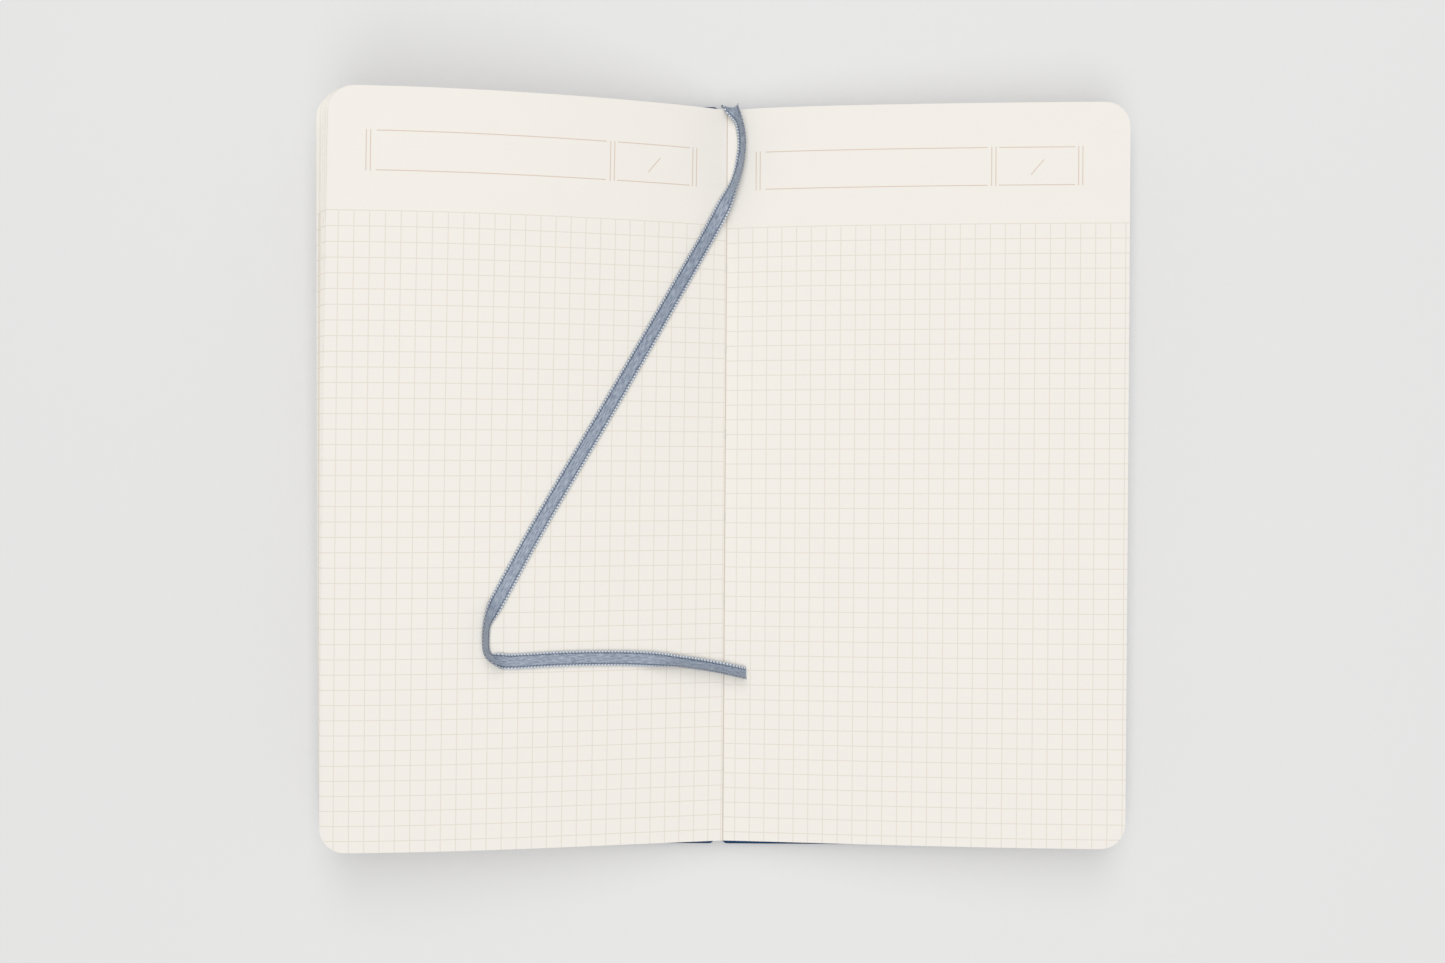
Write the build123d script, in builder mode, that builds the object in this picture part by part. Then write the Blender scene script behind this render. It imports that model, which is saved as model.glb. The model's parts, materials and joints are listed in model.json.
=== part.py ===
from build123d import *
import math
import os

# A slim thread-sewn sketchbook lying open on its two covers. X runs across the spread, to the right.
# Y runs from the foot to the head, Z is up and Z = 0 is the surface it lies on. The origin is under
# the middle of the spine. Every length is in millimetres.

# the leaves
page_height = 180.0
page_width = 98.2
page_corner = 6.0
leaf_pitch = 0.14
leaf_thickness = 0.13
sheets_per_section = 4

# the sections, numbered from the front cover: the book is open at the middle of section 4
closed_sections_per_side = 3
open_section = closed_sections_per_side + 1
section_gap = 0.12
fold_offset = 1.2
open_fold_offset = 0.3
left_slopes = [1.5, 4.5, 8.0, 11.5]
right_slopes = [1.0, 2.6, 4.2, 5.6]

# the case
cover_width = 100.2
cover_height = 184.0
cover_corner = 8.0
cloth = 0.3
board = 0.9
turn_in = 13.0
hinge_width = 1.5
spine_gap = 0.1
pastedown_margin = 3.0
paper_over_board = 0.15
flyleaf_lift = 0.07
lining_gap = 0.45
lining_thickness = 0.12
lining_height = 170.0

# the sewing
stitch_count = 8
stitch_pitch = 20.5
stitch_length = 3.0
thread_radius = 0.10
thread_off_fold = 0.13
gutter_thread_radius = 0.14

# the bookmark ribbon, as a round tube with the section of a 4 x 0.33 mm woven strip
ribbon_tube = 1.3

cover_thickness = cloth + board + cloth
flyleaf_base = cover_thickness + paper_over_board + flyleaf_lift
block_base = flyleaf_base + leaf_thickness + section_gap / 2
section_thickness = 2 * sheets_per_section * leaf_pitch
half_section = section_thickness / 2
open_base = block_base + closed_sections_per_side * (section_thickness + section_gap)
gutter_height = open_base + half_section
flange_top = open_base - 0.1

os.makedirs("parts", exist_ok=True)


def save(piece, name):
    piece.part.label = name
    export_step(piece.part, f"parts/{name}.step")


def outward(side, slope):
    return Vector(side * math.cos(math.radians(slope)), 0, math.sin(math.radians(slope)))


def upward(side, slope):
    return Vector(-side * math.sin(math.radians(slope)), 0, math.cos(math.radians(slope)))


def profile_plane(side, slope, fold):
    # x runs out from the fold along the leaf, y stands up from the leaf
    across = outward(side, slope)
    return Plane(origin=fold, x_dir=across, z_dir=across.cross(upward(side, slope)))


def leaf_plane(side, slope, fold):
    # x runs out from the fold along the leaf, z stands up from the leaf
    return Plane(origin=fold, x_dir=outward(side, slope), z_dir=upward(side, slope))


# ---------------------------------------------------------------- case boards, cloth and endpapers
sides = [(-1, "front"), (1, "back")]

for side, name in sides:
    board_start = spine_gap + hinge_width
    board_length = cover_width - cloth - board_start
    board_centre = side * (board_start + board_length / 2)
    keep_centre = side * (spine_gap + cover_width / 2)

    with BuildPart() as cover_board:
        with BuildSketch(Plane.XY.offset(cloth)):
            RectangleRounded(2 * (cover_width - cloth), cover_height - 2 * cloth, cover_corner - cloth)
            with Locations((board_centre, 0)):
                Rectangle(board_length, cover_height, mode=Mode.INTERSECT)
        extrude(amount=board)
    save(cover_board, f"{name}_board")

    with BuildPart() as cover_cloth:
        with BuildSketch(Plane.XY):
            RectangleRounded(2 * cover_width, cover_height, cover_corner)
            with Locations((keep_centre, 0)):
                Rectangle(cover_width, cover_height, mode=Mode.INTERSECT)
        extrude(amount=cover_thickness)
        with BuildSketch(Plane.XY.offset(cloth)):
            RectangleRounded(2 * (cover_width - cloth), cover_height - 2 * cloth, cover_corner - cloth)
            with Locations((board_centre, 0)):
                Rectangle(board_length, cover_height, mode=Mode.INTERSECT)
        extrude(amount=board, mode=Mode.SUBTRACT)
        with BuildSketch(Plane.XY.offset(cloth)):
            with Locations((side * board_start / 2, 0)):
                Rectangle(board_start, cover_height)
        extrude(amount=cover_thickness, mode=Mode.SUBTRACT)
        with BuildSketch(Plane.XY.offset(cloth + board)):
            Rectangle(2 * (cover_width - turn_in), cover_height - 2 * turn_in)
        extrude(amount=cover_thickness, mode=Mode.SUBTRACT)
        # the spine cloth, folded up between the two halves of the page block
        with BuildSketch(Plane.XY):
            with Locations((side * (spine_gap + cloth / 2), 0)):
                Rectangle(cloth, cover_height)
        extrude(amount=flange_top)
    save(cover_cloth, f"{name}_cover_cloth")

    pastedown_start = board_start + 0.2
    pastedown_length = cover_width - pastedown_margin - pastedown_start
    with BuildPart() as pastedown:
        with BuildSketch(Plane.XY.offset(cover_thickness)):
            RectangleRounded(2 * (cover_width - pastedown_margin), cover_height - 2 * pastedown_margin, 5)
            with Locations((side * (pastedown_start + pastedown_length / 2), 0)):
                Rectangle(pastedown_length, cover_height, mode=Mode.INTERSECT)
        extrude(amount=paper_over_board)
    save(pastedown, f"{name}_pastedown")

    flyleaf_length = page_width - fold_offset
    with BuildPart() as flyleaf:
        with BuildSketch(Plane.XY.offset(flyleaf_base)):
            RectangleRounded(2 * page_width, page_height, page_corner)
            with Locations((side * (fold_offset + flyleaf_length / 2), 0)):
                Rectangle(flyleaf_length, page_height, mode=Mode.INTERSECT)
        extrude(amount=leaf_thickness)
    save(flyleaf, f"{name}_flyleaf")

    with BuildPart() as lining:
        with BuildSketch(Plane.XY.offset(block_base)):
            with Locations((side * (lining_gap + lining_thickness / 2), 0)):
                Rectangle(lining_thickness, lining_height)
        extrude(amount=flange_top - block_base)
    save(lining, f"spine_lining_{name}")

# ---------------------------------------------------------------- closed sections
stitch_places = [(i - (stitch_count - 1) / 2) * stitch_pitch for i in range(stitch_count)]


def fold_point(side, level, offset):
    return Vector(side * offset, 0, level)


closed_sections = []
for i in range(closed_sections_per_side):
    level = block_base + i * (section_thickness + section_gap)
    closed_sections.append((i + 1, -1, left_slopes[i], level))
    closed_sections.append((2 * closed_sections_per_side + 1 - i, 1, right_slopes[i], level))

leaf_length = page_width - fold_offset
for number, side, slope, level in closed_sections:
    fold = fold_point(side, level, fold_offset)
    for sheet in range(sheets_per_section):
        inset = sheet * leaf_pitch
        top = section_thickness - inset
        low = inset + leaf_thickness
        with BuildPart() as folded_sheet:
            with BuildSketch(profile_plane(side, slope, fold)):
                with BuildLine():
                    Polyline(
                        (inset, inset),
                        (leaf_length, inset),
                        (leaf_length, low),
                        (low, low),
                        (low, top - leaf_thickness),
                        (leaf_length, top - leaf_thickness),
                        (leaf_length, top),
                        (inset, top),
                        close=True,
                    )
                make_face()
            extrude(amount=page_height / 2, both=True)
            with BuildSketch(leaf_plane(side, slope, fold)):
                RectangleRounded(2 * leaf_length, page_height, page_corner)
            extrude(amount=2 * section_thickness, both=True, mode=Mode.INTERSECT)
        save(folded_sheet, f"section_{number}_sheet_{sheet + 1}")

    thread_place = fold + upward(side, slope) * half_section - outward(side, slope) * thread_off_fold
    with BuildPart() as link_stitches:
        for place in stitch_places:
            start = thread_place + Vector(0, place - stitch_length / 2, 0)
            with BuildSketch(Plane(origin=start, z_dir=(0, 1, 0))):
                Circle(thread_radius)
            extrude(amount=stitch_length)
    save(link_stitches, f"section_{number}_thread")

# ---------------------------------------------------------------- the open section, left and right leaves
open_leaf_length = page_width - open_fold_offset
for side, hand, slope in [(-1, "left", left_slopes[-1]), (1, "right", right_slopes[-1])]:
    fold = fold_point(side, open_base, open_fold_offset)
    for sheet in range(sheets_per_section):
        leaf_base = fold + upward(side, slope) * (sheet * leaf_pitch)
        with BuildPart() as open_leaf:
            with BuildSketch(leaf_plane(side, slope, leaf_base)):
                RectangleRounded(2 * open_leaf_length, page_height, page_corner)
                with Locations((open_leaf_length / 2, 0)):
                    Rectangle(open_leaf_length, page_height, mode=Mode.INTERSECT)
            extrude(amount=leaf_thickness)
        save(open_leaf, f"section_{open_section}_sheet_{sheet + 1}_{hand}")

with BuildPart() as gutter_thread:
    for place in stitch_places:
        start = Vector(0.02, place - stitch_length / 2, gutter_height - gutter_thread_radius)
        with BuildSketch(Plane(origin=start, z_dir=(0, 1, 0))):
            Circle(gutter_thread_radius)
        extrude(amount=stitch_length)
save(gutter_thread, f"section_{open_section}_thread")

# ---------------------------------------------------------------- the bookmark ribbon
# from the head of the spine, over the head edge, down across the left page, round a tight fold and
# back to the gutter; heights are above the gutter
ribbon_route = [
    (1.9, 91.2, -2.6),
    (2.0, 91.7, -0.9),
    (2.4, 91.5, 1.2),
    (3.3, 89.8, 2.8),
    (4.4, 86.3, 3.0),
    (4.9, 80.6, 2.5),
    (4.1, 71.5, 2.4),
    (-0.6, 60.2, 2.3),
    (-6.2, 49.9, 3.6),
    (-15.4, 33.0, 6.6),
    (-29.4, 8.8, 10.2),
    (-38.9, -7.0, 12.3),
    (-48.2, -22.2, 14.2),
    (-54.4, -32.4, 15.8),
    (-56.9, -38.3, 17.0),
    (-57.0, -42.6, 17.0),
    (-54.6, -45.6, 16.4),
    (-50.4, -45.7, 15.4),
    (-44.0, -44.4, 13.8),
    (-33.6, -43.4, 11.4),
    (-19.4, -44.1, 7.9),
    (-6.2, -46.6, 3.8),
    (5.1, -48.8, 2.2),
]
ribbon_points = [Vector(x, y, z + gutter_height) for x, y, z in ribbon_route]
runs = [b - a for a, b in zip(ribbon_points, ribbon_points[1:])]
ribbon_radii = []
for before, after in zip(runs, runs[1:]):
    half_turn = math.radians(before.get_angle(after)) / 2
    ribbon_radii.append(0.45 * min(before.length, after.length) / math.tan(half_turn))

with BuildPart() as ribbon:
    with BuildLine() as ribbon_line:
        FilletPolyline(*ribbon_points, radius=ribbon_radii)
    with BuildSketch(Plane(origin=ribbon_points[0], z_dir=runs[0])):
        Circle(ribbon_tube / 2)
    sweep()
save(ribbon, "bookmark_ribbon")

ribbon_length = sum(edge.length for edge in ribbon_line.line.edges())
print("gutter height", round(gutter_height, 3), "open base", round(open_base, 3))
print("ribbon length", round(ribbon_length, 1), "runs", [round(run.length, 1) for run in runs])
print("ribbon radii", [round(radius, 1) for radius in ribbon_radii])
print("ribbon volume", round(ribbon.part.volume, 1))
print("section times length", round(math.pi * ribbon_tube**2 / 4 * ribbon_length, 1))
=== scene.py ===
# A slim sewn sketchbook, open and lying on its covers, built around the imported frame.
# All shapes are worked out in millimetres and turned to metres when a mesh is made.
import json
import math
import bpy
import numpy as np
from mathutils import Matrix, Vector


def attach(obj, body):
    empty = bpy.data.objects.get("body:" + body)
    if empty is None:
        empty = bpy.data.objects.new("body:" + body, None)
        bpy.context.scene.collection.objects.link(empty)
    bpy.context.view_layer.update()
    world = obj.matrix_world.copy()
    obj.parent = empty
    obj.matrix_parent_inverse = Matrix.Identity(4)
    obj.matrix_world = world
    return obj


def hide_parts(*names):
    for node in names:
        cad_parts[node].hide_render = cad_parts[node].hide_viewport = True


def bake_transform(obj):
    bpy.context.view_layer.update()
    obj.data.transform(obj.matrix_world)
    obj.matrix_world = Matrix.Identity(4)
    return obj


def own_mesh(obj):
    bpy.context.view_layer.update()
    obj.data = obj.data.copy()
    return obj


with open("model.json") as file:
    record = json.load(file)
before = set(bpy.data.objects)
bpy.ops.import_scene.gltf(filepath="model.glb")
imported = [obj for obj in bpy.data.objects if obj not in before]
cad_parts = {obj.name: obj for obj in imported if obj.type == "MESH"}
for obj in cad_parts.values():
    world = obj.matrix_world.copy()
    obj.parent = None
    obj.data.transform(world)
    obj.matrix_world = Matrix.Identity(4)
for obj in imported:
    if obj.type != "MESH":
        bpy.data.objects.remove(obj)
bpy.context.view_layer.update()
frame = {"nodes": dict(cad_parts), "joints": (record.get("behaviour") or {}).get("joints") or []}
mm = 0.001
closing = next(j for j in frame["joints"] if j["name"] == "cover_closing")
gutter = closing["pos_m"][2] / mm  # height of the fold between the open pages
scene = bpy.context.scene


# straight down: height above the gutter and aim in millimetres, roll in degrees
camera = {"lens": 38.4, "height": 380.0, "aimX": -0.6, "aimY": -1.5, "roll": 0.37}
cameraData = bpy.data.cameras.new("camera")
cameraData.lens = camera["lens"]
cameraData.clip_start = 0.01
cameraObject = bpy.data.objects.new("camera", cameraData)
cameraObject.location = (camera["aimX"] * mm, camera["aimY"] * mm, (gutter + camera["height"]) * mm)
cameraObject.rotation_euler = (0, 0, math.radians(camera["roll"]))
scene.collection.objects.link(cameraObject)
scene.camera = cameraObject
print("camera placed")


def linear(hexColour):
    # sRGB hex to the linear colour that shaders want
    channels = [int(hexColour[i:i + 2], 16) / 255 for i in (1, 3, 5)]
    return [c / 12.92 if c <= 0.04045 else ((c + 0.055) / 1.055) ** 2.4 for c in channels] + [1.0]


def addNode(tree, kind, inputs=None, **settings):
    node = tree.nodes.new("ShaderNode" + kind)
    for name, value in settings.items():
        setattr(node, name, value)
    for socket, value in (inputs or {}).items():
        if isinstance(value, bpy.types.NodeSocket):
            tree.links.new(value, node.inputs[socket])
        else:
            node.inputs[socket].default_value = value
    return node.outputs


def newMaterial(name):
    material = bpy.data.materials.new(name)
    material.use_nodes = True
    return material, material.node_tree, material.node_tree.nodes["Principled BSDF"]


def smoothStep(t):
    t = np.clip(t, 0.0, 1.0)
    return t * t * (3 - 2 * t)


def addMesh(name, points, faces, material, uv=None, smoothBelow=40):
    mesh = bpy.data.meshes.new(name)
    mesh.from_pydata((np.asarray(points, float) * mm).tolist(), [], faces)
    if uv is not None:
        layer = mesh.uv_layers.new(name="print")
        corners = np.empty(len(mesh.loops), np.int32)
        mesh.loops.foreach_get("vertex_index", corners)
        layer.data.foreach_set("uv", (np.asarray(uv, float)[corners] * mm).ravel())
    mesh.polygons.foreach_set("use_smooth", [True] * len(mesh.polygons))
    mesh.set_sharp_from_angle(angle=math.radians(smoothBelow))
    mesh.update()
    mesh.materials.append(material)
    piece = bpy.data.objects.new(name, mesh)
    scene.collection.objects.link(piece)
    return piece


def gridFaces(rows, columns, start=0, flip=False):
    faces = []
    for i in range(rows - 1):
        for j in range(columns - 1):
            a = start + i * columns + j
            quad = [a, a + 1, a + columns + 1, a + columns]
            faces.append(quad[::-1] if flip else quad)
    return faces


page = {
    "height": 180.0,
    "width": 98.2,
    "corner": 6.0,
    "thickness": 0.13,
    "pitch": 0.14,  # from one leaf to the next
    "column": 3.6,  # printed squares, across and down
    "row": 3.624,
    "firstRow": 29.2,  # the grid starts this far below the head
    "line": 0.22,  # printed line width
    "boxTop": 10.8,
    "boxFoot": 19.9,
    "skew": 0.0058,  # leaves and their print lie this much out of square with the fold
    "foldShadeFull": 0.12,  # painted shade along the fold is full to here and gone at the next value
    "foldShadeEnd": 0.3,
    "paper": ("#f3efe8", "#f5f1ea"),  # the darker and lighter parts of the sheet
    "squareInk": "#e7dfd4",
    "headingInk": "#dccab9",
    # painted shade: the darker colour of the fold's valley
    "paintedFoldShade": "#d3c9bc",
}

# the printed heading, in millimetres from its own left end: pairs of short uprights, with two open
# boxes between them, a wide one and a narrow one with a slash
heading = {
    "uprights": [0.0, 1.0, 57.1, 58.1, 77.9, 78.9],
    "boxes": [(2.3, 56.1), (58.8, 77.1)],
    "slashFoot": (66.5, 17.5),
    "slashTop": (69.6, 13.8),
    "overrun": 0.2,  # the uprights stand this far past the boxes, above and below
}


def gridRim(rows, columns):
    # the outline of a grid of points, once round
    rim = [i * columns for i in range(rows)]
    rim += [(rows - 1) * columns + j for j in range(1, columns)]
    rim += [i * columns + columns - 1 for i in range(rows - 2, -1, -1)]
    return rim + list(range(columns - 2, 0, -1))


def paperMaterial(name, firstColumn, headingStart, direction, drop):
    # uncoated cartridge paper, 120 g: warm white, matt, with a fibre grain, printed in pale beige ink.
    # direction is 1 where distances from the fold grow to the right, or -1 where they grow to the left;
    # drop is how much lower this side's print sits
    material, tree, shader = newMaterial(name)
    uv = addNode(tree, "UVMap", uv_map="print")["UV"]
    raw = addNode(tree, "VectorMath", {0: uv, "Scale": 1 / mm}, operation="SCALE")["Vector"]
    place = addNode(tree, "VectorMath", {0: raw, 1: (0, drop, 0)}, operation="SUBTRACT")["Vector"]
    xyz = addNode(tree, "SeparateXYZ", {0: place})
    across, down = xyz["X"], xyz["Y"]

    # the squares
    fromColumn = addNode(tree, "Math", {0: across, 1: firstColumn}, operation="SUBTRACT")[0]
    toColumn = addNode(tree, "Math", {0: fromColumn, 1: page["column"] / 2}, operation="PINGPONG")[0]
    column = addNode(tree, "Math", {0: toColumn, 1: page["line"] / 2}, operation="LESS_THAN")[0]
    fromRow = addNode(tree, "Math", {0: down, 1: page["firstRow"]}, operation="SUBTRACT")[0]
    toRow = addNode(tree, "Math", {0: fromRow, 1: page["row"] / 2}, operation="PINGPONG")[0]
    row = addNode(tree, "Math", {0: toRow, 1: page["line"] / 2}, operation="LESS_THAN")[0]
    either = addNode(tree, "Math", {0: column, 1: row}, operation="MAXIMUM")[0]
    firstLine = page["firstRow"] - page["line"] / 2
    below = addNode(tree, "Math", {0: down, 1: firstLine}, operation="GREATER_THAN")[0]
    squares = addNode(tree, "Math", {0: either, 1: below}, operation="MULTIPLY")[0]
    # painted shade along the fold: darkest right next to it, fading out a little further on
    paintedFoldShade = addNode(tree, "MapRange", {"Value": across, "From Min": page["foldShadeFull"],
                                        "From Max": page["foldShadeEnd"], "To Min": 1.0, "To Max": 0.0})[0]

    # the heading, bar by bar: centre and half size across and down
    middle = (page["boxTop"] + page["boxFoot"]) / 2
    halfTall = (page["boxFoot"] - page["boxTop"]) / 2
    bars = [(x, middle, page["line"] / 2, halfTall + heading["overrun"]) for x in heading["uprights"]]
    for left, right in heading["boxes"]:
        for level in (page["boxTop"], page["boxFoot"]):
            bars.append(((left + right) / 2, level, (right - left) / 2, page["line"] / 2))
    ink = None
    for x, y, halfWide, halfHigh in bars:
        centre = headingStart + direction * x
        nearX = addNode(tree, "Math", {0: across, 1: centre, 2: halfWide}, operation="COMPARE")[0]
        nearY = addNode(tree, "Math", {0: down, 1: y, 2: halfHigh}, operation="COMPARE")[0]
        bar = addNode(tree, "Math", {0: nearX, 1: nearY}, operation="MULTIPLY")[0]
        ink = bar if ink is None else addNode(tree, "Math", {0: ink, 1: bar}, operation="MAXIMUM")[0]

    # the slash: distances along and off its own line
    foot, top = heading["slashFoot"], heading["slashTop"]
    along = Vector((direction * (top[0] - foot[0]), top[1] - foot[1], 0))
    start = (headingStart + direction * foot[0], foot[1], 0)
    offset = addNode(tree, "VectorMath", {0: place, 1: start}, operation="SUBTRACT")["Vector"]
    unit = along.normalized()
    run = addNode(tree, "VectorMath", {0: offset, 1: unit}, operation="DOT_PRODUCT")["Value"]
    side = addNode(tree, "VectorMath", {0: offset, 1: (unit.y, -unit.x, 0)}, operation="DOT_PRODUCT")["Value"]
    onRun = addNode(tree, "Math", {0: run, 1: along.length / 2, 2: along.length / 2}, operation="COMPARE")[0]
    onLine = addNode(tree, "Math", {0: side, 1: 0.0, 2: page["line"] / 2}, operation="COMPARE")[0]
    slash = addNode(tree, "Math", {0: onRun, 1: onLine}, operation="MULTIPLY")[0]
    ink = addNode(tree, "Math", {0: ink, 1: slash}, operation="MAXIMUM")[0]

    # paper tone: a cloudy formation of about 8 mm and single fibres of about 0.4 mm
    cloud = addNode(tree, "TexNoise", {"Vector": place, "Scale": 1 / 8, "Detail": 3.0})["Fac"]
    fibre = addNode(tree, "TexNoise", {"Vector": place, "Scale": 1 / 0.4, "Detail": 4.0})["Fac"]
    dark, light = [linear(colour) for colour in page["paper"]]
    tone = addNode(tree, "Mix", {0: cloud, 6: dark, 7: light}, data_type="RGBA")[2]
    speck = addNode(tree, "MapRange", {"Value": fibre, "From Min": 0.3, "From Max": 0.7,
                                       "To Min": 0.985, "To Max": 1.01})[0]
    toned = addNode(tree, "VectorMath", {0: tone, "Scale": speck}, operation="SCALE")["Vector"]
    ruled = addNode(tree, "Mix", {0: squares, 6: toned, 7: linear(page["squareInk"])}, data_type="RGBA")[2]
    printed = addNode(tree, "Mix", {0: ink, 6: ruled, 7: linear(page["headingInk"])}, data_type="RGBA")[2]
    foldShaded = addNode(tree, "Mix", {0: paintedFoldShade, 6: printed, 7: linear(page["paintedFoldShade"])}, data_type="RGBA")[2]
    tree.links.new(foldShaded, shader.inputs["Base Color"])
    bump = addNode(tree, "Bump", {"Strength": 0.25, "Distance": 0.03 * mm, "Height": fibre})["Normal"]
    tree.links.new(bump, shader.inputs["Normal"])
    shader.inputs["Roughness"].default_value = 0.9
    shader.inputs["IOR"].default_value = 1.45
    shader.inputs["Specular IOR Level"].default_value = 0.3
    return material


def plainPaperMaterial(name, light, dark):
    # pastedowns and flyleaves: unprinted heavy paper, matt, with a fine fibre grain
    material, tree, shader = newMaterial(name)
    fibreSize = 0.5
    place = addNode(tree, "TexCoord")["Object"]
    fibre = addNode(tree, "TexNoise", {"Vector": place, "Scale": 1 / (fibreSize * mm), "Detail": 4.0})["Fac"]
    tone = addNode(tree, "Mix", {0: fibre, 6: linear(dark), 7: linear(light)}, data_type="RGBA")[2]
    tree.links.new(tone, shader.inputs["Base Color"])
    bump = addNode(tree, "Bump", {"Strength": 0.3, "Distance": 0.03 * mm, "Height": fibre})["Normal"]
    tree.links.new(bump, shader.inputs["Normal"])
    shader.inputs["Roughness"].default_value = 0.92
    shader.inputs["IOR"].default_value = 1.45
    shader.inputs["Specular IOR Level"].default_value = 0.25
    return material


def bookClothMaterial():
    # navy book cloth: a plain weave of 0.5 mm threads, dull, a little paler where the threads rise
    cloth = {"thread": 0.5, "slub": 4.0, "dark": "#0f3a64", "light": "#175589", "gap": "#0a2c4c"}
    material, tree, shader = newMaterial("navyBookCloth")
    place = addNode(tree, "TexCoord")["Object"]
    slubScale = 1 / (cloth["slub"] * mm)
    slub = addNode(tree, "TexNoise", {"Vector": place, "Scale": slubScale, "Detail": 2.0})["Fac"]
    size = 1 / (2 * cloth["thread"] * mm)  # over one thread and under the next
    bands = {"Vector": place, "Scale": size / 3.14,  # at scale 1 a wave repeats about three times a metre
             "Distortion": 0.6, "Detail": 1.0, "Detail Scale": 2.0}
    warp, weft = [addNode(tree, "TexWave", bands, bands_direction=way)["Fac"] for way in ("X", "Y")]
    weave = addNode(tree, "Math", {0: warp, 1: weft}, operation="MULTIPLY")[0]
    dark, light = linear(cloth["dark"]), linear(cloth["light"])
    base = addNode(tree, "Mix", {0: slub, 6: dark, 7: light}, data_type="RGBA")[2]
    shade = addNode(tree, "MapRange", {"Value": weave, "From Max": 0.35})[0]
    tone = addNode(tree, "Mix", {0: shade, 6: linear(cloth["gap"]), 7: base}, data_type="RGBA")[2]
    tree.links.new(tone, shader.inputs["Base Color"])
    bump = addNode(tree, "Bump", {"Strength": 0.5, "Distance": 0.12 * mm, "Height": weave})["Normal"]
    tree.links.new(bump, shader.inputs["Normal"])
    shader.inputs["Roughness"].default_value = 0.78
    shader.inputs["IOR"].default_value = 1.5
    shader.inputs["Specular IOR Level"].default_value = 0.35
    return material


ribbon = {
    "width": 4.0,
    "thickness": 0.3,
    "picot": 0.78,  # from one edge loop to the next
    "picotDepth": 0.32,  # how far the edge draws in between two loops
    "bandEdge": 1.25,  # the smooth middle ends this far from the centre line
    "loopLine": 1.7,  # the edge loops sit this far from it
    "floatsAlong": 0.64,  # satin floats in a millimetre
    "floatsAcross": 4.8,
    "rib": 0.3,
    "clear": 0.12,  # gap between the ribbon and the page
    "offPage": 88.0,  # nearer the head than this, it isn't resting on the pages
    "heldFrom": 52.0,  # from here to the head it stands more and more as it was bent over the edge
    "heldRun": 26.0,
    "feel": 0.9,  # how far to each side of its middle the page's height is felt for
    "slopeFeel": 1.5,  # and the page's slope
    "heightEase": 4.0,  # distances along it over which its height, route and tilt are evened out
    "routeEase": 1.2,
    "tiltEase": 3.0,
    "step": 0.16,  # from one ring of the mesh to the next
    "endCut": 0.22,  # slant of the free end
    "float": ("#6e7b91", "#aab5c4"),  # dark and light of the middle
    "edge": ("#55627a", "#8c99ac"),  # dark and light of the woven edge
    "loop": "#dbe2ea",
    # painted shade: the colour of the sunk lines and their holes
    "sunkLineShade": "#3d495f",
}


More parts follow.
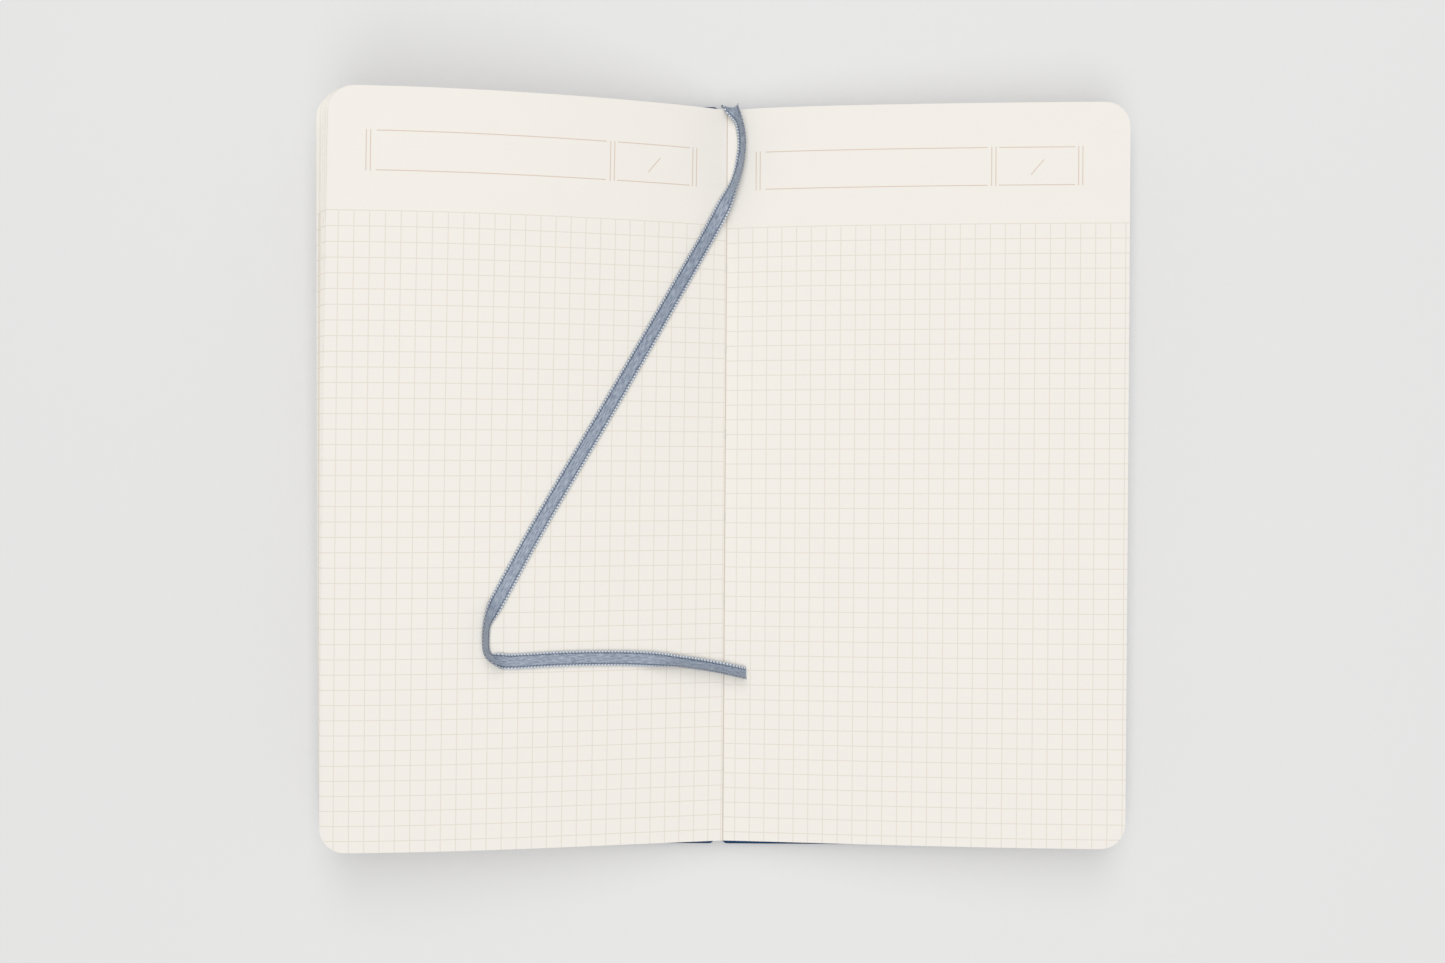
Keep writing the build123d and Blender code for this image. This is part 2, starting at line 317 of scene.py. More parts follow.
def satinRibbonMaterial():
    # polyester satin ribbon: a smooth middle of fine lengthwise floats, a sunk line in painted shade each
    # side of it, and a woven edge with a row of small bright loops
    material, tree, shader = newMaterial("satinRibbon")
    uv = addNode(tree, "UVMap", uv_map="print")["UV"]
    place = addNode(tree, "VectorMath", {0: uv, "Scale": 1 / mm}, operation="SCALE")["Vector"]
    xyz = addNode(tree, "SeparateXYZ", {0: place})
    along, across = xyz["X"], xyz["Y"]
    out = addNode(tree, "Math", {0: across}, operation="ABSOLUTE")[0]

    # lengthwise floats and the cross ribs that hold them, both coarser than real ones so that they show
    perFloat = (ribbon["floatsAlong"], ribbon["floatsAcross"], 1)
    streaks = addNode(tree, "VectorMath", {0: place, 1: perFloat}, operation="MULTIPLY")["Vector"]
    floats = addNode(tree, "TexNoise", {"Vector": streaks, "Scale": 1.0, "Detail": 4.0})["Fac"]
    ribPhase = addNode(tree, "Math", {0: along, 1: 2 * math.pi / ribbon["rib"]}, operation="MULTIPLY")[0]
    rib = addNode(tree, "Math", {0: ribPhase}, operation="SINE")[0]
    ribs = addNode(tree, "MapRange", {"Value": rib, "From Min": -1.0, "From Max": 1.0})[0]

    # the sunk line with its row of holes, then the loops: a dot every picot pitch near the edge
    # painted shade in the sunk line's groove, darkest at its holes; the same mask also sinks the bump
    toLine = addNode(tree, "Math", {0: out, 1: ribbon["bandEdge"]}, operation="SUBTRACT")[0]
    lineGap = addNode(tree, "Math", {0: toLine}, operation="ABSOLUTE")[0]
    line = addNode(tree, "MapRange", {"Value": lineGap, "From Min": 0.06, "From Max": 0.2,
                                      "To Min": 1.0, "To Max": 0.0})[0]
    shifted = addNode(tree, "Math", {0: along, 1: 0.2}, operation="ADD")[0]
    toHole = addNode(tree, "Math", {0: shifted, 1: ribbon["picot"] / 2}, operation="PINGPONG")[0]
    hole = addNode(tree, "MapRange", {"Value": toHole, "From Min": 0.1, "From Max": 0.3,
                                      "To Min": 1.0, "To Max": 0.35})[0]
    sunkAndShaded = addNode(tree, "Math", {0: line, 1: hole}, operation="MULTIPLY")[0]
    edge = addNode(tree, "MapRange", {"Value": out, "From Min": ribbon["bandEdge"] + 0.1,
                                      "From Max": ribbon["bandEdge"] + 0.25})[0]
    toLoop = addNode(tree, "Math", {0: along, 1: ribbon["picot"] / 2}, operation="PINGPONG")[0]
    offLoop = addNode(tree, "Math", {0: out, 1: ribbon["loopLine"]}, operation="SUBTRACT")[0]
    reach = addNode(tree, "CombineXYZ", {0: toLoop, 1: offLoop})[0]
    far = addNode(tree, "VectorMath", {0: reach}, operation="LENGTH")["Value"]
    loop = addNode(tree, "MapRange", {"Value": far, "From Min": 0.17, "From Max": 0.32,
                                      "To Min": 1.0, "To Max": 0.0})[0]

    grain = addNode(tree, "MapRange", {"Value": floats, "From Min": 0.36, "From Max": 0.64})[0]
    floatDark, floatLight = [linear(colour) for colour in ribbon["float"]]
    middle = addNode(tree, "Mix", {0: grain, 6: floatDark, 7: floatLight}, data_type="RGBA")[2]
    edgeDark, edgeLight = [linear(colour) for colour in ribbon["edge"]]
    ribbed = addNode(tree, "Mix", {0: ribs, 6: edgeDark, 7: edgeLight}, data_type="RGBA")[2]
    edged = addNode(tree, "Mix", {0: edge, 6: middle, 7: ribbed}, data_type="RGBA")[2]
    looped = addNode(tree, "Mix", {0: loop, 6: edged, 7: linear(ribbon["loop"])}, data_type="RGBA")[2]
    grooveShaded = addNode(tree, "Mix", {0: sunkAndShaded, 6: looped, 7: linear(ribbon["sunkLineShade"])}, data_type="RGBA")[2]
    tree.links.new(grooveShaded, shader.inputs["Base Color"])
    raised = addNode(tree, "Math", {0: loop, 1: sunkAndShaded}, operation="SUBTRACT")[0]
    weave = addNode(tree, "Math", {0: floats, 1: ribs}, operation="ADD")[0]
    height = addNode(tree, "Math", {0: weave, 1: 0.35, 2: raised}, operation="MULTIPLY_ADD")[0]
    bump = addNode(tree, "Bump", {"Strength": 0.6, "Distance": 0.1 * mm, "Height": height})["Normal"]
    tree.links.new(bump, shader.inputs["Normal"])
    shader.inputs["Roughness"].default_value = 0.38
    shader.inputs["IOR"].default_value = 1.55
    shader.inputs["Sheen Weight"].default_value = 0.15
    shader.inputs["Sheen Roughness"].default_value = 0.35
    return material


def fibreMaterial(name, light, dark, fibre, roughness):
    # thread, mull and millboard show their loose fibres: a mixed tone and a bump at the fibres' own size
    material, tree, shader = newMaterial(name)
    place = addNode(tree, "TexCoord")["Object"]
    noise = addNode(tree, "TexNoise", {"Vector": place, "Scale": 1 / (fibre * mm), "Detail": 5.0})["Fac"]
    spread = addNode(tree, "MapRange", {"Value": noise, "From Min": 0.3, "From Max": 0.7})[0]
    tone = addNode(tree, "Mix", {0: spread, 6: linear(dark), 7: linear(light)}, data_type="RGBA")[2]
    tree.links.new(tone, shader.inputs["Base Color"])
    bump = addNode(tree, "Bump", {"Strength": 0.5, "Distance": 0.05 * mm, "Height": noise})["Normal"]
    tree.links.new(bump, shader.inputs["Normal"])
    shader.inputs["Roughness"].default_value = roughness
    return material


leftPrint = paperMaterial("cartridgePaperLeft", 4.25, headingStart=88.1, direction=-1, drop=-0.62)
rightPrint = paperMaterial("cartridgePaperRight", 3.33, headingStart=7.67, direction=1, drop=0.0)
endpaper = plainPaperMaterial("creamEndpaper", "#f2ece1", "#eae3d7")
navyCloth = bookClothMaterial()
satin = satinRibbonMaterial()
linenThread = fibreMaterial("waxedLinenThread", "#e6e3dc", "#bdb9b2", fibre=0.15, roughness=0.7)
mull = fibreMaterial("spineMull", "#e4dfd2", "#c9c3b5", fibre=0.8, roughness=0.9)
millboard = fibreMaterial("greyMillboard", "#8f8a82", "#6f6a63", fibre=0.6, roughness=0.9)
print("materials made")


# Each side's top leaf sets the curve. Its slope in degrees falls off across the leaf, with a steeper
# stretch close to the fold. twist makes the head end rise more than the foot end, headBow is extra
# steepness at the fold towards the head, and sinks are how far the fold draws the leaves in (or, below
# 0, lets them out), at the foot and at the head, lowest section first; topSink is the top leaf's own.
# shares are how far each section follows the top leaf, and leafShare is the step from leaf to leaf.
leftSide = {"side": -1, "slope": 16.0, "fall": 0.0, "curl": 0.0016, "foldSlope": 4.5, "foldRun": 8.0,
            "twist": 0.226, "headBow": 6.9, "sinks": [(0.0, 0.0), (0.0, 0.0), (0.5, -0.6), (0.9, 0.5)],
            "shares": [0.13, 0.38, 0.68, 0.95], "leafShare": 0.022, "topSink": (1.15, 2.05)}
rightSide = {"side": 1, "slope": 8.3, "fall": 0.068, "curl": 0.0, "foldSlope": 4.0, "foldRun": 8.0,
             "twist": -0.22, "headBow": 9.0, "sinks": [(0.2, 0.1), (0.4, 0.2), (0.6, 0.35), (0.8, 0.45)],
             "shares": [0.17, 0.44, 0.71, 0.95], "leafShare": 0.03, "topSink": (0.85, 0.5)}

headBowRun = 12.0  # the extra steepness at the head dies out over this distance from the fold
printShare = 0.45  # a leaf that is drawn in takes its print along by this share of the way
printRun = 2.0  # and fully so from this distance on

sectionCount = 7
closedPerSide = 3
sheetsPerSection = 4
lastSheet = sheetsPerSection - 1
leavesPerSection = 2 * sheetsPerSection
sectionGap = 0.12
closedFold = 1.2  # the folds of the closed sections stand this far out from the middle
sectionThick = leavesPerSection * page["pitch"]
openBase = gutter - sheetsPerSection * page["pitch"]


def leafCurve(shape, share, u, y):
    # how far across and how high a leaf runs, for a column of distances from the fold at every y
    fine = np.linspace(0, page["width"], 200)[:, None]
    level = np.asarray(y)[None, :] / (page["height"] / 2)
    slope = shape["slope"] - shape["fall"] * fine - shape["curl"] * fine ** 2
    slope = slope * (1 + shape["twist"] * level)
    slope = slope + shape["foldSlope"] * np.exp(-fine / shape["foldRun"])
    slope = np.radians(share * (slope + shape["headBow"] * level * np.exp(-fine / headBowRun)))
    step = fine[1, 0]
    start = np.zeros((1, slope.shape[1]))
    x = np.vstack([start, np.cumsum(np.cos(slope), 0)[:-1] * step])
    z = np.vstack([start, np.cumsum(np.sin(slope), 0)[:-1] * step])
    columns = range(x.shape[1])
    reach = np.stack([np.interp(u[:, j], fine[:, 0], x[:, j]) for j in columns], 1)
    rise = np.stack([np.interp(u[:, j], fine[:, 0], z[:, j]) for j in columns], 1)
    return reach, rise


def leafGrid(shape, share, sinks, foldX, foldZ, count, rows):
    # the middle surface of one leaf from its fold out to the fore-edge, and each place's print distance;
    # its points stand closer together towards the fold, and a rounded corner ends it at head and foot
    corner = page["corner"]
    level = np.linspace(-1, 1, rows)
    sink = np.interp(level, [-1, 1], sinks)
    body = np.linspace(0, 1, count)[:, None] ** 1.25 * (page["width"] - foldX - sink - corner)[None, :]
    turn = np.linspace(0, math.pi / 2, 7)[1:, None]
    u = np.concatenate([body, body[-1:] + corner * np.sin(turn)])
    tall = page["height"] / 2 - corner * np.concatenate([np.zeros((count, 1)), 1 - np.cos(turn)])
    x, z = leafCurve(shape, share, u, level * page["height"] / 2)
    x = shape["side"] * (foldX + x)
    drawn = printShare * sink[None, :] * np.minimum(u / printRun, 1)
    return np.stack([x, tall * level[None, :] + page["skew"] * x, foldZ + z], 2), u + foldX + drawn


def sheetMesh(name, middle, u, material):
    # middle is a grid of points down the middle of the sheet; it gets its paper thickness here
    rows, columns = middle.shape[:2]
    normal = np.cross(np.gradient(middle, axis=0), np.gradient(middle, axis=1))
    normal /= np.maximum(np.linalg.norm(normal, axis=2, keepdims=True), 1e-9)
    half = page["thickness"] / 2
    upper, lower = middle + normal * half, middle - normal * half
    points = np.concatenate([upper.reshape(-1, 3), lower.reshape(-1, 3)])
    under = rows * columns
    faces = gridFaces(rows, columns) + gridFaces(rows, columns, under, flip=True)
    rim = gridRim(rows, columns)
    for a, b in zip(rim, rim[1:] + rim[:1]):
        faces.append([b, a, a + under, b + under])
    down = page["height"] / 2 - middle[:, :, 1] + page["skew"] * middle[:, :, 0]
    uv = np.stack([u, down], 2).reshape(-1, 2)
    return addMesh(name, points, faces, material, np.concatenate([uv, uv]))


def foldedSheet(name, shape, shares, sinks, level, sheet, material):
    # lower leaf from the fore-edge in, round the fold, and the upper leaf out again
    centreX = closedFold + page["pitch"] * sheetsPerSection
    radius = (leavesPerSection - 1 - 2 * sheet) * page["pitch"] / 2
    centreZ = level + sectionThick / 2
    lowShare, highShare = shares
    count, rows = 14, 15
    low, lowU = leafGrid(shape, lowShare, sinks, centreX, centreZ - radius, count, rows)
    high, highU = leafGrid(shape, highShare, sinks, centreX, centreZ + radius, count, rows)
    turns = np.linspace(-math.pi / 2, math.pi / 2, 7)[1:-1]
    fold = np.empty((len(turns), low.shape[1], 3))
    fold[:, :, 0] = (shape["side"] * (centreX - radius * np.cos(turns)))[:, None]
    fold[:, :, 1] = low[0, :, 1]
    fold[:, :, 2] = (centreZ + radius * np.sin(turns))[:, None]
    middle = np.concatenate([low[::-1], fold, high])
    u = np.concatenate([lowU[::-1], np.full((len(turns), low.shape[1]), closedFold), highU])
    if shape["side"] > 0:
        middle, u = middle[::-1], u[::-1]
    return sheetMesh(name, middle, u, material)


def flatten(piece, body):
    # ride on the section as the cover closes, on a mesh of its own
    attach(piece, body)
    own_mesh(piece)


sides = [("left", leftSide, leftPrint), ("right", rightSide, rightPrint)]
for hand, shape, material in sides:
    for layer in range(closedPerSide):
        number = layer + 1 if hand == "left" else sectionCount - layer
        level = gutter - sectionThick / 2 - (closedPerSide - layer) * (sectionThick + sectionGap)
        fromMiddle = np.arange(leavesPerSection) - (leavesPerSection - 1) / 2
        shares = shape["shares"][layer] + fromMiddle * shape["leafShare"]
        for sheet in range(sheetsPerSection):
            pair = (shares[sheet], shares[leavesPerSection - 1 - sheet])
            name = f"section_{number}_sheet_{sheet + 1}"
            piece = foldedSheet(f"{name}_paper", shape, pair, shape["sinks"][layer], level, sheet, material)
            flatten(piece, f"section_{number}")
            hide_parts(name)

for hand, shape, material in sides:
    for sheet in range(sheetsPerSection):
        top = sheet == lastSheet
        share = 1.0 if top else shape["shares"][-1] + (sheet - lastSheet / 2) * shape["leafShare"]
        lowSink, topSink = np.array(shape["sinks"][-1]), np.array(shape["topSink"])
        sinks = lowSink * (lastSheet - sheet) / lastSheet + topSink * sheet / lastSheet
        level = openBase + (sheet + 0.5) * page["pitch"]
        count, rows = (60, 61) if top else (26, 31)  # the open pages have the finer grid
        middle, u = leafGrid(shape, share, sinks, 0.0, level, count, rows)
        if hand == "right":
            middle, u = middle[::-1], u[::-1]
        name = f"section_4_sheet_{sheet + 1}_{hand}"
        piece = sheetMesh(f"{name}_paper", middle, u, material)
        flatten(piece, f"section_4_{hand}")
        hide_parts(name)
print("leaves made")


sewing = {
    "stitches": 8,
    "pitch": 20.5,
    "length": 3.0,
    "strand": 0.11,  # radius of one of the two strands
    "wind": 0.07,  # how far the strands wind round each other
    "windRate": 7.0,
    "offset": 0.02,
    "rise": 0.05,  # above the fold
    "sag": 0.35,  # the ends dip into their holes
}


def threadMesh(centres, radius, sides=8):
    # a round strand that runs along the fold, with a flat cap at each end
    points, faces = [], []
    for x, y, z in centres:
        for k in range(sides):
            turn = 2 * math.pi * k / sides
            points.append((x + radius * math.cos(turn), y, z + radius * math.sin(turn)))
    for i in range(len(centres) - 1):
        for k in range(sides):
            a, b = i * sides + k, i * sides + (k + 1) % sides
            faces.append([a, b, b + sides, a + sides])
    faces.append(list(range(sides)))
    faces.append(list(range((len(centres) - 1) * sides, len(centres) * sides))[::-1])
    return points, faces


points, faces = [], []
for i in range(sewing["stitches"]):
    middle = (i - (sewing["stitches"] - 1) / 2) * sewing["pitch"]
    for strand in (-1, 1):
        line = []
        for t in np.linspace(-1, 1, 19):
            turn = sewing["windRate"] * t
            x = sewing["offset"] + strand * sewing["wind"] * math.cos(turn)
            z = gutter + sewing["rise"] - sewing["sag"] * t ** 6 + strand * sewing["wind"] * math.sin(turn)
            line.append((x, middle + t * sewing["length"] / 2, z))
        strandPoints, strandFaces = threadMesh(line, sewing["strand"])
        faces += [[index + len(points) for index in face] for face in strandFaces]
        points += strandPoints
stitches = addMesh("gutterStitches", points, faces, linenThread)
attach(stitches, "back_half")
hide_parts("section_4_thread")
print("sewing made")


# The ribbon is glued inside the spine at the head, comes up behind the pages' edge, goes over it and lies
# across the left page to a turn, then back over the gutter. Points are in metres above the gutter.
ribbonRoute = [
    (0.0004, 0.0908, -0.0026), (0.0003, 0.0910, -0.0006), (0.0010, 0.0903, 0.0013), (0.0022, 0.0889, 0.0027),
    (0.0032, 0.0868, 0.0032), (0.0038, 0.0840, 0.0030), (0.0040, 0.0800, 0.0028), (0.0029, 0.0738, 0.0025),
    (0.0004, 0.0680, 0.0024), (-0.0042, 0.0592, 0.0027), (-0.0105, 0.0477, 0.0046),
    (-0.0202, 0.0301, 0.0074), (-0.0305, 0.0118, 0.0102), (-0.0385, -0.0020, 0.0120),
    (-0.0461, -0.0154, 0.0136), (-0.0515, -0.0256, 0.0150), (-0.0562, -0.0345, 0.0165),
    (-0.0566, -0.0392, 0.0170), (-0.0563, -0.0434, 0.0168), (-0.0530, -0.0449, 0.0158),
    (-0.0470, -0.0447, 0.0144), (-0.0390, -0.0443, 0.0124), (-0.0270, -0.0443, 0.0098),
    (-0.0160, -0.0449, 0.0069), (-0.0072, -0.0461, 0.0041), (0.0012, -0.0478, 0.0022),
    (0.0055, -0.0487, 0.0021),
]
# roll in degrees and depth of the cup in mm, at distances in mm from the start; a roll above 0 lifts
# the right-hand edge
ribbonRolls = [(0, 16), (2, 12), (9, -48), (14, -46), (20, -40), (42, 0), (140, 0), (148.5, 60), (155.5, 64),
               (159.5, 0), (190, 0), (203, 46), (222, 50)]
ribbonCups = [(0, 0.22), (3, 0.22), (7, 0.85), (15, 0.7), (26, 0.22), (190, 0.22), (203, 0.75), (222, 0.8)]


def pageHeight(x, y):
    # how high the open pages are at places in mm, measured from the gutter's own height
    height = np.zeros(len(x))
    u = np.repeat(np.linspace(0, page["width"], 150)[:, None], len(x), 1)
    for shape in (leftSide, rightSide):
        reach, rise = leafCurve(shape, 1.0, u, y)
        here = np.array([np.interp(abs(x[i]), reach[:, i], rise[:, i]) for i in range(len(x))])
        height = np.where(x * shape["side"] >= 0, here, height)
    return height


def evenly(points, step):
    # the same line with rings an even distance apart
    run = np.concatenate([[0], np.cumsum(np.linalg.norm(np.diff(points, axis=0), axis=1))])
    count = int(run[-1] / step) + 1
    at = np.linspace(0, run[-1], count)
    return np.stack([np.interp(at, run, points[:, k]) for k in range(3)], 1), at


def eased(keys, at):
    # values at keyed distances, with an even ease from each key to the next
    places = np.array([k[0] for k in keys], float)
    values = np.array([k[1] for k in keys], float)
    index = np.clip(np.searchsorted(places, at, side="right") - 1, 0, len(keys) - 2)
    t = (at - places[index]) / (places[index + 1] - places[index])
    return values[index] + (values[index + 1] - values[index]) * smoothStep(t)


def averaged(values, reach):
    # a moving average that keeps the ends
    kernel = np.hanning(2 * reach + 3)[1:-1]
    padded = np.concatenate([np.repeat(values[:1], reach, 0), values, np.repeat(values[-1:], reach, 0)])
    columns = padded.reshape(len(padded), -1)
    out = [np.convolve(columns[:, k], kernel / kernel.sum(), "valid") for k in range(columns.shape[1])]
    return np.stack(out, 1).reshape(values.shape)


routeCurve = bpy.data.curves.new("ribbonRoute", "CURVE")
routeCurve.dimensions = "3D"
spline = routeCurve.splines.new("NURBS")
spline.points.add(len(ribbonRoute) - 1)
for point, (x, y, z) in zip(spline.points, ribbonRoute):
    point.co = (x, y, z + gutter * mm, 1.0)
spline.order_u = 3
spline.use_endpoint_u = True
spline.resolution_u = 48
routeObject = bpy.data.objects.new("ribbonRoute", routeCurve)
routeMesh = bpy.data.meshes.new_from_object(routeObject)
routeLine = np.array([v.co for v in routeMesh.vertices]) / mm
bpy.data.objects.remove(routeObject)
bpy.data.meshes.remove(routeMesh)

centres, along = evenly(routeLine, ribbon["step"])
roll = np.radians(eased(ribbonRolls, along))
lift = np.abs(np.sin(roll)) * ribbon["width"] / 2
headEdge = page["height"] / 2

# it rests on the highest of five places under its width, except where it comes over the head edge
feel = ribbon["feel"]
around = [(0, 0), (feel, 0), (-feel, 0), (0, feel), (0, -feel)]
paper = [pageHeight(centres[:, 0] + dx, np.minimum(centres[:, 1] + dy, headEdge)) for dx, dy in around]
paper = averaged(np.max(paper, 0), int(ribbon["heightEase"] / ribbon["step"]))
settled = gutter + (paper + lift + ribbon["thickness"] / 2 + ribbon["clear"])
held = smoothStep((centres[:, 1] - ribbon["heldFrom"]) / ribbon["heldRun"])
standing = np.maximum(settled, settled * (1 - held) + centres[:, 2] * held)
centres[:, 2] = np.where(centres[:, 1] > ribbon["offPage"], centres[:, 2], standing)
softened = averaged(centres, int(ribbon["routeEase"] / ribbon["step"]))
centres = np.concatenate([centres[:1], softened[1:-1], centres[-1:]])

# its face looks towards the head inside the spine and turns to lie along the pages' own slope
tangent = np.gradient(centres, axis=0)
tangent /= np.linalg.norm(tangent, axis=1, keepdims=True)
turned = smoothStep((along - 1.0) / 6.0)[:, None]
onPage = np.minimum(centres[:, 1], headEdge)
feel = ribbon["slopeFeel"]
slopeX = (pageHeight(centres[:, 0] + feel, onPage) - pageHeight(centres[:, 0] - feel, onPage)) / (2 * feel)
slopeX = averaged(slopeX, int(ribbon["tiltEase"] / ribbon["step"]))
pageUp = np.stack([-slopeX, np.zeros(len(slopeX)), np.ones(len(slopeX))], 1)
up = np.array([0, 1, 0]) * (1 - turned) + pageUp * turned
up -= tangent * np.sum(up * tangent, 1, keepdims=True)
up /= np.linalg.norm(up, axis=1, keepdims=True)
right = np.cross(tangent, up)
cosRoll, sinRoll = np.cos(roll)[:, None], np.sin(roll)[:, None]
right, up = right * cosRoll + up * sinRoll, up * cosRoll - right * sinRoll

# across the ribbon: a shallow cup, the sunk line either side of the middle, and the looped edges
half = ribbon["width"] / 2
band = ribbon["bandEdge"] / half
across = np.array([-1, -0.93, -0.85, -0.76, band * -1.08, band * -1, band * -0.9, -0.3, 0])
across = np.concatenate([across, -across[-2::-1]]) * half
wave = np.cos(2 * math.pi * along / ribbon["picot"])[:, None]
share = np.abs(across)[None, :] / half
outer = smoothStep((share - 0.7) / 0.3)
reach = across[None, :] * (1 + outer * ribbon["picotDepth"] / half * 0.5 * (wave - 1))
groove = np.exp(-((np.abs(across) - ribbon["bandEdge"]) / 0.11) ** 2)[None, :] * 0.07
loops = np.exp(-((np.abs(across) - ribbon["loopLine"]) / 0.2) ** 2)[None, :] * 0.08 * wave
cupped = eased(ribbonCups, along)[:, None] * (share ** 2 - 0.4)
taper = np.sqrt(np.clip(1 - share ** 8, 0.12, 1))
topSide = cupped + ribbon["thickness"] / 2 * taper - groove + loops
underSide = cupped - ribbon["thickness"] / 2 * taper + groove * 0.6
endCut = ribbon["endCut"] * smoothStep((along - along[-1] + 3) / 3)
points = []
for level in (topSide, underSide):
    flat = centres[:, None, :] + right[:, None, :] * reach[:, :, None] + up[:, None, :] * level[:, :, None]
    points.append(flat + tangent[:, None, :] * (across[None, :] * endCut[:, None])[:, :, None])
rings, wide = points[0].shape[:2]
faces = gridFaces(rings, wide, flip=True) + gridFaces(rings, wide, rings * wide)
under = rings * wide
for i in range(rings - 1):
    for j in (0, wide - 1):
        a, b = i * wide + j, (i + 1) * wide + j
        faces.append([a, b, b + under, a + under] if j else [b, a, a + under, b + under])
for i in (0, rings - 1):
    for j in range(wide - 1):
        a, b = i * wide + j, i * wide + j + 1
        faces.append([a, b, b + under, a + under] if not i else [b, a, a + under, b + under])
uv = np.stack([np.repeat(along[:, None], wide, 1), np.repeat(across[None, :], rings, 0)], 2).reshape(-1, 2)
bookmark = addMesh("bookmarkRibbon", np.concatenate([p.reshape(-1, 3) for p in points]), faces, satin,
                   np.concatenate([uv, uv]), smoothBelow=60)
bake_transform(bookmark)
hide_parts("bookmark_ribbon")
print("ribbon made,", round(along[-1], 1), "mm long")


# The case: two boards wrapped in cloth with rounded corners, and a strip of cloth across the spine.
case = {
    "foot": -91.88,
    "head": {"front": 92.0, "back": 91.1},  # the back board is set a little lower than the front one
    "frontEdge": 2.2,  # the wrapped boards start this far from the middle, the back one just past it
    "backEdge": -0.1,
    "foreEdge": 100.2,
    "thickness": 1.5,
    "corner": 8.0,
    "innerCorner": 1.2,
    "rim": 0.45,  # rounding of the cloth over the boards' edges
    "coreRim": 0.1,
    "wrap": 0.3,  # the cloth's own thickness
    "capInset": 2.5,  # a last ring this far in keeps the rim's shading off the flat faces
    "spineHalf": 90.2,
    "spineBend": 5.05,  # height of the bend's centre at the top of the spine fold
    "spineRadius": 0.3,
    "spineCloth": 0.24,  # thickness of the spine cloth
}


def roundedBoard(name, side, inner, head, inset, low, high, rim, material):
    # a board with two rounded outer corners, stacked in rings that round its rim; inset is how far it
    # lies inside the cloth
    wide = case["foreEdge"] - inset
    narrow = inner + inset
    top, foot = head - inset, case["foot"] + inset

    def outline(inward):
        loop = []
        outer, small = case["corner"] - inset, case["innerCorner"]
        for x, y, radius, first in [(wide, top, outer, 0), (narrow, top, small, 90),
                                    (narrow, foot, small, 180), (wide, foot, outer, 270)]:
            r = max(radius - inward, 0.05)
            centreX = x - radius if x == wide else x + radius
            centreY = y - math.copysign(radius, y)
            for step in range(9):
                angle = math.radians(first + 90 * step / 8)
                loop.append((side * (centreX + r * math.cos(angle)), centreY + r * math.sin(angle)))
        return loop if side > 0 else loop[::-1]

    quarter = [math.radians(90 * step / 6) for step in range(7)]
    levels = [(case["capInset"], low)]
    levels += [(rim * (1 - math.sin(t)), low + rim * (1 - math.cos(t))) for t in quarter]
    levels += [(rim * (1 - math.cos(t)), high - rim + rim * math.sin(t)) for t in quarter]
    levels.append((case["capInset"], high))
    points = [(x, y, z) for inward, z in levels for x, y in outline(inward)]
    count = len(outline(0))
    faces = []
    for i in range(len(levels) - 1):
        for k in range(count):
            a, b = i * count + k, i * count + (k + 1) % count
            faces.append([a, b, b + count, a + count])
    faces.append(list(range(count))[::-1])
    faces.append([(len(levels) - 1) * count + k for k in range(count)])
    return addMesh(name, points, faces, material)


covers = [("front", -1, case["frontEdge"], "front_cover"), ("back", 1, case["backEdge"], "back_half")]
for which, side, inner, body in covers:
    head, thick, wrap = case["head"][which], case["thickness"], case["wrap"]
    cloth = roundedBoard(f"{which}CoverCloth", side, inner, head, 0, 0, thick, case["rim"], navyCloth)
    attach(cloth, body)
    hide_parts(f"{which}_cover_cloth")
    core = roundedBoard(f"{which}Board", side, inner, head, wrap, wrap, thick - wrap, case["coreRim"],
                        millboard)
    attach(core, body)
    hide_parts(f"{which}_board")

# the spine cloth stands as a narrow fold between the two halves of the block
bend = case["spineRadius"]
climb = [(0.9, 1.25), (0.42, 1.42), (0.32, 1.9), (bend, 2.6), (bend, 4.2)]
turns = np.linspace(math.pi, 0, 17)
fold = [(-2.5, 1.12), (-1.6, 1.18)] + [(-x, z) for x, z in climb]
fold += [(bend * math.cos(t), case["spineBend"] + bend * math.sin(t)) for t in turns]
fold = np.array(fold + climb[::-1] + [(1.6, 1.12)])
lengths = np.concatenate([[0], np.cumsum(np.linalg.norm(np.diff(fold, axis=0), axis=1))])
fine = np.linspace(0, lengths[-1], 121)
fold = np.stack([np.interp(fine, lengths, fold[:, k]) for k in range(2)], 1)
fold = averaged(fold, 2)
slopes = np.gradient(fold, axis=0)
slopes /= np.linalg.norm(slopes, axis=1, keepdims=True)
outward = np.stack([-slopes[:, 1], slopes[:, 0]], 1)
steps = np.linspace(-case["spineHalf"], case["spineHalf"], 41)
points, faces = [], []
for offset in (case["spineCloth"] / 2, -case["spineCloth"] / 2):
    strip = fold + outward * offset
    for x, z in strip:
        points += [(x, y, z) for y in steps]
rows, columns = len(fold), len(steps)
faces = gridFaces(rows, columns, flip=True) + gridFaces(rows, columns, rows * columns)
edgeLoop = gridRim(rows, columns)
for a, b in zip(edgeLoop, edgeLoop[1:] + edgeLoop[:1]):
    faces.append([a, b, b + rows * columns, a + rows * columns])
spine = addMesh("spineCloth", points, faces, navyCloth)
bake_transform(spine)
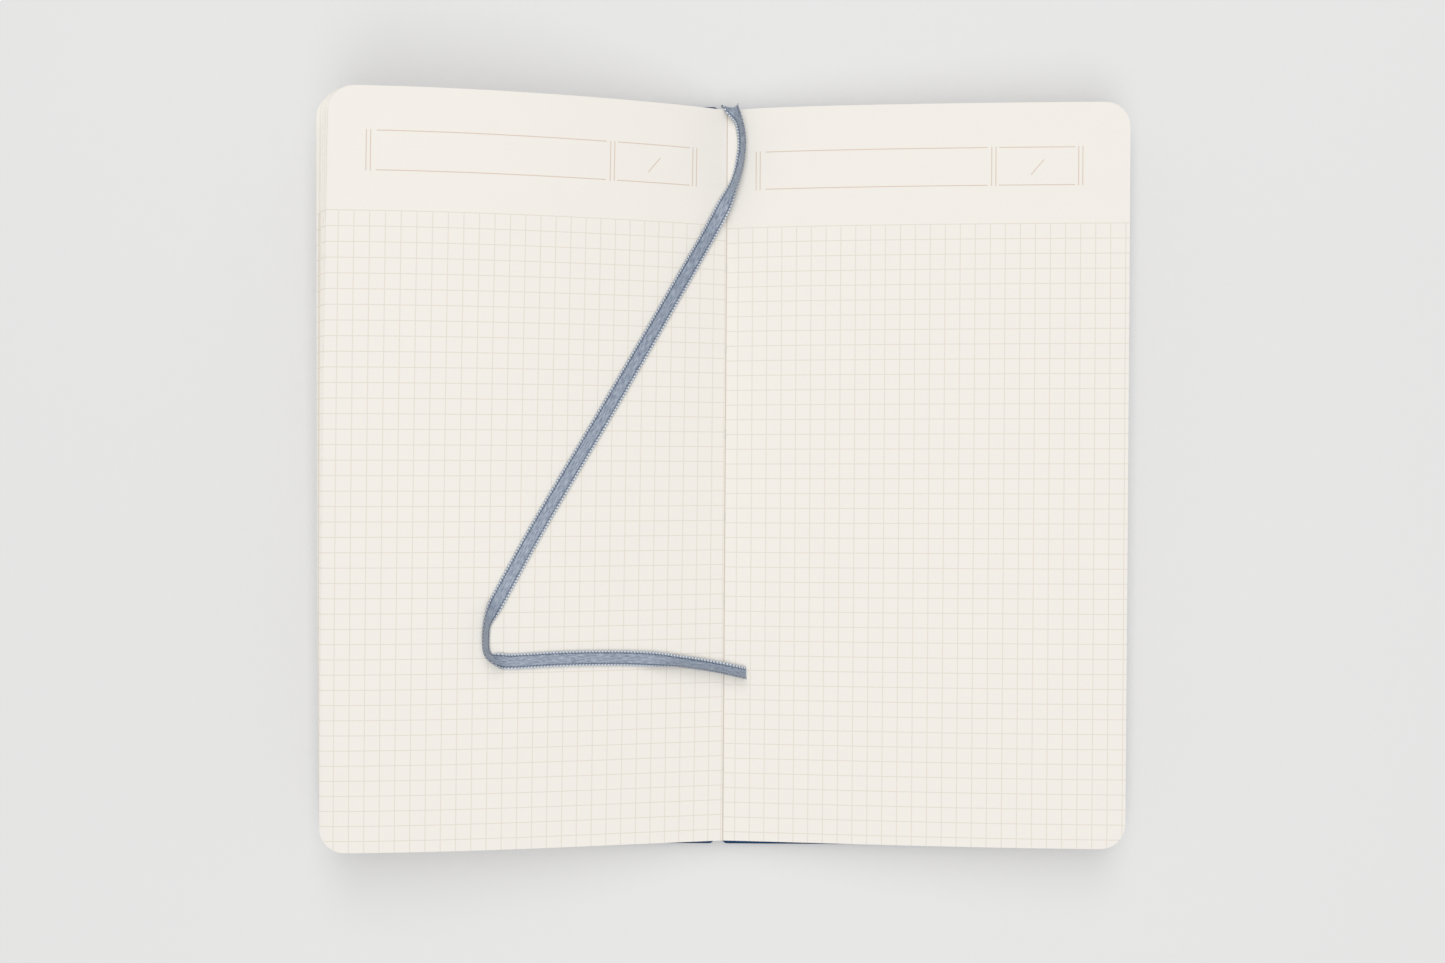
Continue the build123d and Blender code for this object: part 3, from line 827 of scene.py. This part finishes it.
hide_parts("front_cover_cloth", "back_cover_cloth")
print("case made")


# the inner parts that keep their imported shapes
kept = {"pastedown": endpaper, "flyleaf": endpaper, "spine_lining": mull, "thread": linenThread}
for name, node in frame["nodes"].items():
    for word, material in kept.items():
        if word in name and not node.hide_render:
            node.data.materials.clear()
            node.data.materials.append(material)


sweep = {"span": 1500.0, "mottle": 167.0, "dark": "#e9e9e9", "light": "#ebebeb"}  # span is half its width


def studioSweepMaterial():
    # matt white paint on a studio sweep: pale grey, with next to no gloss and a faint broad mottle
    material, tree, shader = newMaterial("paleStudioSweep")
    place = addNode(tree, "TexCoord")["Object"]
    mottleScale = 1 / (sweep["mottle"] * mm)
    mottle = addNode(tree, "TexNoise", {"Vector": place, "Scale": mottleScale, "Detail": 2.0})["Fac"]
    dark, light = linear(sweep["dark"]), linear(sweep["light"])
    tone = addNode(tree, "Mix", {0: mottle, 6: dark, 7: light}, data_type="RGBA")[2]
    tree.links.new(tone, shader.inputs["Base Color"])
    shader.inputs["Roughness"].default_value = 0.9
    shader.inputs["Specular IOR Level"].default_value = 0.1
    return material


span = sweep["span"]
floor = addMesh("floor", [(-span, -span, 0), (span, -span, 0), (span, span, 0), (-span, span, 0)],
                [[0, 1, 2, 3]], studioSweepMaterial())

# a long softbox over the book: its power in watts, its two sides and its place in metres
light = {"world": 0.405, "overhead": 12.9, "across": 0.7, "down": 2.6, "height": 1.1, "north": 0.15}
world = bpy.data.worlds.new("softRoom")
world.use_nodes = True
world.node_tree.nodes["Background"].inputs["Color"].default_value = linear("#fbfbfa")
world.node_tree.nodes["Background"].inputs["Strength"].default_value = light["world"]
scene.world = world
overhead = bpy.data.lights.new("overheadSoftbox", "AREA")
overhead.shape = "RECTANGLE"
overhead.size = light["across"]
overhead.size_y = light["down"]
overhead.energy = light["overhead"]
overheadObject = bpy.data.objects.new("overheadSoftbox", overhead)
overheadObject.location = (0, light["north"], light["height"])
scene.collection.objects.link(overheadObject)
scene.view_settings.view_transform = "Standard"
print("floor and lights made")
